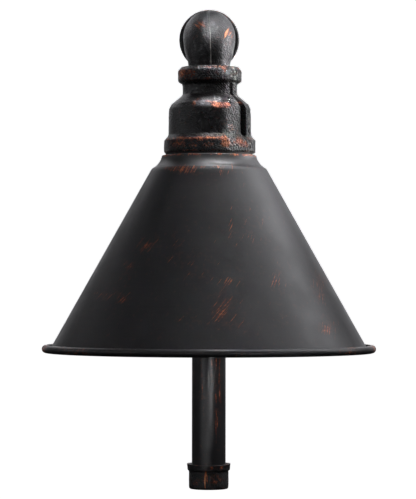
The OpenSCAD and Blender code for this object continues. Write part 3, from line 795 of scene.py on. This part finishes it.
def stem():
    ring = pipe_section(4.7, ARM_Z - 14.0, 0.9)[:, ::-1]
    th = circle(220, -math.pi)
    V = around(ring, th)
    # copper comes through in long upright strokes, most of it to the right of the front
    _, height, T = ring_coords(ring, th)
    T = np.degrees(T)
    rub = 0.0
    for turn, z, wide, tall, weight in (
            (-22, 56, 4, 8, 1.1), (-26, 66, 4, 6, 0.9), (10, 64, 4, 9, 1.0), (25, 67, 4, 7, 1.1),
            (39, 62, 4, 11, 1.3), (39, 51, 3, 3, 1.3), (26, 37, 4.5, 8.5, 1.6), (24, 50, 4, 5, 1.0),
            (-15, 45, 6, 8, 0.5), (45, 45, 4, 12, 0.6)):
        rub = rub + weight * bump(T, turn, wide) * bump(height, z, tall)
    streaks = np.clip(noise(V * np.array([1, 1, 0.25]), 4.0, 17) * 1.2 - 0.1, 0, 1)
    rub = 1.2 * rub + 0.5 * streaks * ((height > 85) | (np.abs(T) > 60))
    make("stem_tube", V, turned_faces(ring, th), "post", M_PIPE,
         {"rub": rub, "edge": 0 * rub}, ("stem_pipe",), sharp=50)


# ---- spun shade
def on_arc(cx, cz, r, degrees):
    a = math.radians(degrees)
    return cx + r * math.cos(a), cz + r * math.sin(a)


def between(a, b, steps):
    """Points evenly along a line, without its two ends."""
    return [(a[0] + (b[0] - a[0]) * i / steps, a[1] + (b[1] - a[1]) * i / steps) for i in range(1, steps)]


def shade_section():
    """The outside and the inside of the wall as (radius, height): plate, cove, cone, sweep and rolled rim."""
    t, top_r, edge_r, plate_r = 0.8, 23.7, 0.6, 17.7
    cove_r, cove_from, cone, roll_r, rim_r, rim_z, roll_end = 9.05, 14, 60.72, 1.95, 83.3, 77.1, 112
    cx, cz = on_arc(top_r, SHADE_TOP - edge_r, cove_r, cove_from)
    crease = on_arc(cx, cz, cove_r, 245)
    rcx, rcz = rim_r - roll_r, rim_z + roll_r
    sa, ca, ta = (f(math.radians(cone)) for f in (math.sin, math.cos, math.tan))
    # radius of the sweep that meets the cone and the underside of the roll smoothly
    sweep = (rcx - crease[0] + t / 2 / sa - (crease[1] - rim_z - t / 2) / ta) / (sa - (1 - ca) / ta)
    scz = rim_z + t / 2 + sweep
    flat_r = top_r - edge_r
    outer = [(plate_r, SHADE_TOP), (flat_r, SHADE_TOP)]
    outer += arc(flat_r, SHADE_TOP - edge_r, edge_r, 90, cove_from, 6)[1:]
    outer += arc(cx, cz, cove_r, 194, 243.2, 26)[1:]
    start = (crease[0] + 0.54 * ca, crease[1] - 0.54 * sa)
    last = outer[-1]
    outer += [(last[0] * .55 + start[0] * .45 - 0.05, last[1] * .5 + start[1] * .5), start]
    outer += between(start, (rcx - (sweep - t / 2) * sa, scz - (sweep - t / 2) * ca), 72)
    outer += arc(rcx, scz, sweep - t / 2, 270 - cone, 270, 12)
    mid = roll_r - t / 2
    outer += arc(rcx, rcz, mid - t / 2, -60, roll_end, 16)
    under = arc(*on_arc(rcx, rcz, mid, roll_end), t / 2, -68, roll_end, 7)[1:-1]
    under += arc(rcx, rcz, roll_r, roll_end, -90, 22)
    under += arc(rcx, scz, sweep + t / 2, 264, 270 - cone, 10)
    cove_in = on_arc(cx, cz, cove_r + t, 243.5)
    under += between((rcx - (sweep + t / 2) * sa, scz - (sweep + t / 2) * ca), cove_in, 24) + [cove_in]
    cove_top = math.degrees(math.asin((cz - SHADE_TOP + t) / (cove_r + t))) + 180
    under += arc(cx, cz, cove_r + t, 243, cove_top, 12) + [(plate_r, SHADE_TOP - t)]
    return outer, under, crease[0]


def shade():
    outer, under, crease_r = shade_section()
    ring = np.array(outer + under, float)
    th = circle(512, -math.pi)
    V = around(ring, th, 0.0, HEAD)
    R, Z, T = ring_coords(ring, th)
    out = np.repeat(np.arange(len(ring)) < len(outer), len(th))
    # spinning leaves faint rings, and the wall is never quite true
    nrm = np.column_stack([np.sin(T) * .87, -np.cos(T) * .87, 0.49 + 0 * T])
    cone = smooth(30, 34, R) * (1 - smooth(76, 80, R))
    d = cone * (0.018 * noise(np.column_stack([0 * R, 0 * R, Z]), 2.6, 4) + 0.03 * noise(V, 34, 6))
    rub = wear(V, HEAD, (
            # strokes from the crease down
            (-16, 167.6, 5, 1.6, 1), (-10, 166.8, 4.5, 2.6, 1.1), (-21, 168.3, 3, 1, 0.9),
            (0, 168.6, 10, 0.9, 0.8), (6, 165.5, 1.4, 3.5, 0.9), (14, 166.5, 6, 2.2, 0.6),
            # a long scuff on the front
            (8, 101, 6, 9, 0.85), (4, 96.5, 4, 6, 0.75), (10.5, 114, 5, 6, 0.55),
            (-8, 95, 6, 6, 0.5), (15, 91.5, 5, 4, 0.65), (10, 137, 2, 5.5, 0.6),
            # lighter ones on the sides
            (-31, 129, 5, 4, 0.85), (-40, 118, 5, 5, 0.7), (-42, 104.5, 4, 5, 0.8),
            (-51, 106, 5, 5, 0.7), (57, 91, 4.5, 4, 1.2), (54, 111, 5, 12, 0.85),
            (33, 113, 4, 10, 0.7), (22, 140, 9, 12, 0.45), (-5, 120, 12, 10, 0.45),
            (-18, 130, 12, 10, 0.35), (38, 95, 6, 6, 0.45)))
    rub = rub + (V[:, 1] > HEAD) * np.clip(noise(V, 14, 13) - 0.25, 0, 1) * 0.8
    on_roll = (R > 79.0) & (Z < 82)
    lump = np.clip(noise(V, 9.0, 19) * 1.3 - 0.1, 0, 1)
    ends = bump(V[:, 0], -64, 9) + 1.1 * bump(V[:, 0], 68, 7) + (V[:, 1] > HEAD - 25.0)
    edge = np.where(on_roll, 0.1 + 0.25 * lump + ends * (0.45 + 0.75 * lump), 0.0)
    ticks = 0.7 + 0.8 * noise(V, 1.6, 23)
    edge = edge + 1.3 * bump(Z, SHADE_TOP - 0.5, 0.7) * (R < 24.4) * (R > 22.6) * ticks
    edge = edge + 0.55 * bump(R, crease_r, 0.6) * out * (V[:, 0] < 30.0)
    make("shade_cone", V + nrm * d[:, None], turned_faces(ring, th), "head",
         M_SHADE, {"rub": np.clip(rub, 0, 1.4) * out, "edge": edge}, ("shade",), sharp=60)


# ---- foot collar
def collar():
    h, r, lip, bore_r, floor = 13.3, 10.8, 11.9, 9.25, 4.5
    hole_r, thread_depth, pitch = 4.85, 0.32, 0.94
    outline = rounded([(hole_r, 0), (r - 0.2, 0), (r, 2.0), (r, h - 3.7), (r + .15, h - 3.3),
                       (lip - .35, h - 3.0), (lip - .2, h - 1.4), (lip, h - 0.1), (lip - .2, h),
                       (lip - .5, h - .05), (10.6, h - 0.9), (bore_r + 0.02, h - 3.1), (bore_r, floor),
                       (hole_r, floor)],
                      [0, 1.7, 1.2, .2, .15, .4, .3, .12, .1, .15, .5, .5, .2, 0])
    zs = np.linspace(floor - 0.1, 0.1, 34)
    grooves = thread_depth * (0.5 - 0.5 * np.cos(zs * 2 * math.pi / pitch)) * smooth(0, .5, zs)
    ring = np.vstack([resample(outline, 0.3), np.column_stack([hole_r + grooves, zs])])
    th = circle(260, -math.pi)
    V = around(ring, th)
    R, Z, T = ring_coords(ring, th)
    outside = (R > 10.0) * smooth(0.05, 0.8, Z) * (Z < h - 0.5)
    n = np.column_stack([np.sin(T), -np.cos(T), 0 * T])
    V2 = V + n * (outside * 0.45 * (cast_grain(V, 9) - 0.07))[:, None]
    # the thin lip stands a little higher at its sides
    V2[:, 2] += 0.6 * np.sin(T) ** 2 * smooth(h - 3.2, h - 0.4, Z) * (R > 9.6)
    rub = wear(V, 0, (
        (-2, 4.6, 0.45, 3.8, 2.8), (-1.6, 9, 0.45, 1.6, 2.2), (-0.9, 6.4, 0.35, 2.6, 1.8),
        (1.6, 12, 1, 1.3, 1.5), (6.8, 12, 1.2, 1.2, 1.5), (3.5, 5, 4, 3.5, 1),
        (-6.5, 4, 2.5, 3, 0.8)))
    rub = rub + (V[:, 1] > 0) * np.clip(noise(V, 4.0, 14) - 0.1, 0, 1)
    edge = np.maximum(bump(Z, h - .1, .5), 0.6 * bump(Z, 1.0, 1.0)) * (R > 9.8)
    edge = edge * (0.55 + 0.5 * noise(V, 2.5, 3))
    make("collar_cup", V2, turned_faces(ring, th), "foot", M_COLLAR,
         {"rub": outside * np.clip(rub, 0, 3.0), "edge": edge}, ("foot_collar",))


def set_screw():
    back_y, z, length, end_r = 9.35, 7.4, 3.2, 1.1
    thread_r, thread_depth, pitch = 1.42, 0.08, 0.5
    key_r, key_flat, key_depth = 0.78, 0.7, 1.0
    th = circle(48)
    prof = [(0.0, 0.0), (0.0, end_r)]
    prof += [(0.15 + y, thread_r - thread_depth * (1 + math.cos(y * 2 * math.pi / pitch)) / 2)
             for y in np.linspace(0, length - 0.3, 40)]
    prof += [(length, end_r), (length, key_r), (length - key_depth, key_r), (length - key_depth, 0.0)]
    V = []
    for y, r in prof:
        # the key's socket is a hexagon
        radius = key_flat / np.cos(hex_fold(th)) if r == key_r else np.full(len(th), max(r, 1e-4))
        V.append(level_ring(radius, back_y + y, z, th))
    faces = grid_faces(len(prof), len(th), False)
    make("set_screw", np.vstack(V), faces, "foot", M_SETSCREW, None, ("collar_set_screw",),
         sharp=40)


# ---- jar and lamp
def jar():
    r, w, z0, z1, corner_r = JAR_R, JAR_WALL, JAR_Z, JAR_TOP, 5
    low, high = z0 + corner_r, z1 - 3
    out = [(0.001, z0 + 0.5), (6.0, z0 + 0.15)] + arc(r - corner_r, low, corner_r, -84, 0, 12)
    out += between((r, low), (r, high), 14) + [(r, high)]
    out += rounded([(r, high), (r, z1), (r - w, z1), (r - w, high)], [0, .6, .6, 0])[1:]
    out += between((r - w, high), (r - w, low), 10) + [(r - w, low)]
    out += arc(r - corner_r, low, corner_r - w, 0, -84, 9) + [(6.0, z0 + w + 0.1), (0.001, z0 + w + 0.25)]
    th = circle(192)
    V = around(np.array(out, float), th, 0.0, HEAD)
    make("jar_glass_cup", V, turned_faces(out, th, False), "jar", M_GLASS,
         None, ("glass_jar",))


def pinched(z, k, half_x, half_y, th):
    """A ring from round (k 0) to the flat pinch (k 1): a superellipse whose power grows with k."""
    n = 2 + 6 * k
    r = (np.abs(np.sin(th) / half_x) ** n + np.abs(np.cos(th) / half_y) ** n) ** (-1 / n)
    return upright_ring(r, z, th)


def envelope():
    r, z0 = LAMP_R, LAMP_Z
    half_x, half_y = 4.15, 1.55
    th = circle(96)
    neck = PINCH_Z - 3
    out = [(0.02, z0), (0.7, z0 + 0.08)] + arc(0, z0 + r, r, -78, 0, 14)
    out += between((r, z0 + r), (r, neck), 8) + [(r, neck)]
    rows = [upright_ring(rad, z, th) for rad, z in out]
    for i in range(1, 8):
        k = float(smooth(0, 1, i / 7))
        rows.append(pinched(neck + 3 * i / 7 + 0.3, k, r + (half_x - r) * k, r + (half_y - r) * k, th))
    for z in (157.0, 159.5, 161.2):
        rows.append(pinched(z, 1, half_x, half_y, th))
    rows.append(pinched(161.7, 1, half_x - 0.25, half_y - 0.25, th))
    rows.append(pinched(161.75, 1, 0.05, 0.02, th))
    make("lamp_envelope_skin", np.vstack(rows), turned_faces(rows, th, False), "lamp",
         M_QUARTZ, None, ("lamp_envelope",))
    # inner wall, facing the gas
    inn = [(0.02, z0 + 1.0)] + arc(0, z0 + r, r - LAMP_WALL, -80, 0, 12)
    inn += [(r - LAMP_WALL, PINCH_Z - 4), (r - 1.6, PINCH_Z - 2.2), (0.05, PINCH_Z - 1.6)]
    V = around(np.array(inn, float), th, 0.0, HEAD)
    faces = grid_faces(len(inn), len(th), False)
    make("lamp_envelope_inner", V, faces, "lamp", M_QUARTZ)


def filament():
    """A close coil between the supports."""
    n, sides, turns, coil_r, wire_r = 220, 8, 9, 0.72, 0.13
    half, z = 1.62, 144.6
    t = np.linspace(0, 1, n)
    turn = 2 * math.pi * turns * t
    path = np.stack([-half + 2 * half * t, HEAD + coil_r * np.sin(turn), z + coil_r * np.cos(turn)], -1)
    tan = np.gradient(path, axis=0)
    tan /= np.linalg.norm(tan, axis=1)[:, None]
    side = np.cross(tan, X_AXIS)
    side /= np.linalg.norm(side, axis=1)[:, None]
    up = np.cross(side, tan)
    ph = circle(sides)
    rings = [path[i] + wire_r * (np.outer(np.cos(ph), side[i]) + np.outer(np.sin(ph), up[i]))
             for i in range(n)]
    faces = grid_faces(n, sides, False).tolist()
    faces += [list(range(sides)), [(n - 1) * sides + i for i in range(sides)][::-1]]
    make("filament_coil", np.vstack(rings), faces, "lamp", M_TUNGSTEN, None,
         ("lamp_filament",))



coupling()
front_elbow()
rear_elbow()
bushing()
arm()
stem()
shade()
collar()
set_screw()
jar()
envelope()
filament()


# ---- stage, light and camera
def stage():
    m, _, bsdf = new_mat("stage_pale")
    bsdf.inputs["Base Color"].default_value = (0.85, 0.85, 0.85, 1)
    bsdf.inputs["Roughness"].default_value = 0.9
    bsdf.inputs["Emission Color"].default_value = (1, 1, 1, 1)
    bsdf.inputs["Emission Strength"].default_value = 1.0
    # a round room: floor, cove, wall and dome, so every side of the object has the same background
    floor_z, cove, wall_r, wall_top, columns = -1.6, 1.0, 3.4, 2.0, 96
    quarter = np.linspace(0, math.pi / 2, 16)
    prof = [(0.01, floor_z), (wall_r - cove, floor_z)]
    prof += [(wall_r - cove + cove * math.sin(a), floor_z + cove - cove * math.cos(a)) for a in quarter[1:]]
    prof += [(wall_r * math.cos(a), wall_top + wall_r * math.sin(a)) for a in quarter[:-1]]
    v = around(np.array(prof), circle(columns)).tolist()
    f = grid_faces(len(prof), columns, close_rows=False).tolist()
    me = bpy.data.meshes.new("stage_floor")
    me.from_pydata(v, [], f)
    me.shade_smooth()
    ob = put("stage_floor", me)
    me.materials.append(m)
    ob.visible_glossy = False
    ob.visible_diffuse = False
    ob.visible_shadow = False


def area(name, loc, target, size, power, color, spread=180.0):
    li = bpy.data.lights.new(name, "AREA")
    li.shape = "RECTANGLE"
    li.size, li.size_y = size
    li.energy = power
    li.color = color
    li.spread = math.radians(spread)
    ob = put(name, li)
    ob.location = loc
    ob.rotation_euler = (target - loc).to_track_quat("-Z", "Y").to_euler()
    ob.visible_camera = False


def around_point(centre, azimuth, elevation, distance):
    """A place round a point: azimuth 0 is in front, 90 to the right."""
    a, e = math.radians(azimuth), math.radians(elevation)
    return centre + distance * Vector((math.cos(e) * math.sin(a), -math.cos(e) * math.cos(a), math.sin(e)))


def sky():
    """A dim grey room, darker below."""
    w = bpy.data.worlds.new("studio")
    bpy.context.scene.world = w
    w.use_nodes = True
    k = Net(w.node_tree)
    back = w.node_tree.nodes["Background"]
    back.inputs[0].default_value = (0.96, 0.98, 1.0, 1)
    xyz = k.node("ShaderNodeSeparateXYZ")
    w.node_tree.links.new(k.node("ShaderNodeTexCoord").outputs["Generated"], xyz.inputs[0])
    k.plug(back.inputs[1], k.ramp(xyz.outputs[2], -0.35, 0.2, 0.012, 0.045))


def lights():
    sky()
    middle, fittings = Vector((0, -0.1, 0.16)), Vector((0, -0.108, 0.203))
    shoulder = Vector((0.004, -0.124, 0.2))
    shoulder_top = shoulder + Vector((0, 0.002, 0.0))
    stem_mid, collar_mid = Vector((0, 0, 0.07)), Vector((0, 0, 0.012))
    cool = (0.965, 0.96, 1.0)
    # soft boxes for the whole object: name, azimuth, elevation, distance, width, power
    for name, az, el, dist, width, power in (
            ("right_mid", 105, 40, 1, 0.4, 2.25), ("right_high", 105, 62, 1, 0.4, 1.5),
            ("top_right", 88, 62, 1, 0.4, 1.4), ("overhead", 0, 88, 1, 0.5, 1.3),
            ("right_low", 105, 15, 1, 0.4, 1.35), ("back_right", 150, 30, 1.1, 0.4, 0.9),
            ("right_front", 55, 15, 1, 0.4, 0.42), ("left_low", -60, 10, 1, 0.4, 0.29),
            ("left_side", -100, 12, 1, 0.4, 0.45), ("back_left", -150, 30, 1.1, 0.4, 0.8),
            ("back", 180, 12, 1.1, 0.4, 1.4), ("low_right", 158, 3, 1.1, 0.4, 0.45),
            ("low_left", -158, 3, 1.1, 0.4, 0.28)):
        area(name, around_point(middle, az, el, dist), middle, (width, width), power, cool)
    # narrow beams on one place each: name, target, azimuth, elevation, distance, size, power, spread
    for name, target, az, el, dist, size, power, spread in (
            ("beam_right", fittings, 115, 22, 0.9, (0.14, 0.14), 0.012, 4.5),
            ("beam_low", fittings, 112, 3, 0.9, (0.14, 0.14), 0.042, 4.5),
            ("beam_left", fittings, -60, 30, 0.9, (0.2, 0.14), 0.003, 6),
            ("beam_front", fittings, -8, 6, 0.9, (0.12, 0.12), 0.0014, 4),
            ("beam_cove", shoulder, 125, 80, 0.9, (0.12, 0.12), 0.024, 2.5),
            ("beam_shoulder", shoulder_top, 90, 84, 0.35, (0.02, 0.02), 0.0021, 2),
            ("stem_right", stem_mid, 14, 2, 0.62, (0.05, 0.05), 0.0034, 7),
            ("stem_left", stem_mid, -38, 1, 0.62, (0.12, 0.12), 0.0026, 12),
            ("collar_front", collar_mid, -12, 6, 0.62, (0.14, 0.1), 0.0034, 5)):
        area(name, around_point(target, az, el, dist), target, size, power, cool, spread)
    # a small lamp below the shade, so the jar and the inside can be seen
    area("inside", Vector((0, -0.108, 0.005)), Vector((0, -0.108, 0.16)), (0.04, 0.04), 0.14, cool, 50)


def camera():
    distance, height, sideways = 1.308, 0.1124, -0.00021
    pitch, roll, pan = 90.774, -0.07, 0.0131
    cd = bpy.data.cameras.new("camera")
    cd.sensor_fit = "VERTICAL"
    cd.sensor_height = 36.0
    cd.sensor_width = 36.0
    # a long lens, in mm
    cd.lens = 173.29059
    cd.clip_start, cd.clip_end = 0.05, 50.0
    ob = put("camera", cd)
    ob.location = (sideways, -distance, height)
    ob.rotation_euler = [math.radians(a) for a in (pitch, roll, pan)]
    bpy.context.scene.camera = ob


stage()
lights()
camera()
bpy.context.scene.view_settings.view_transform = "Standard"
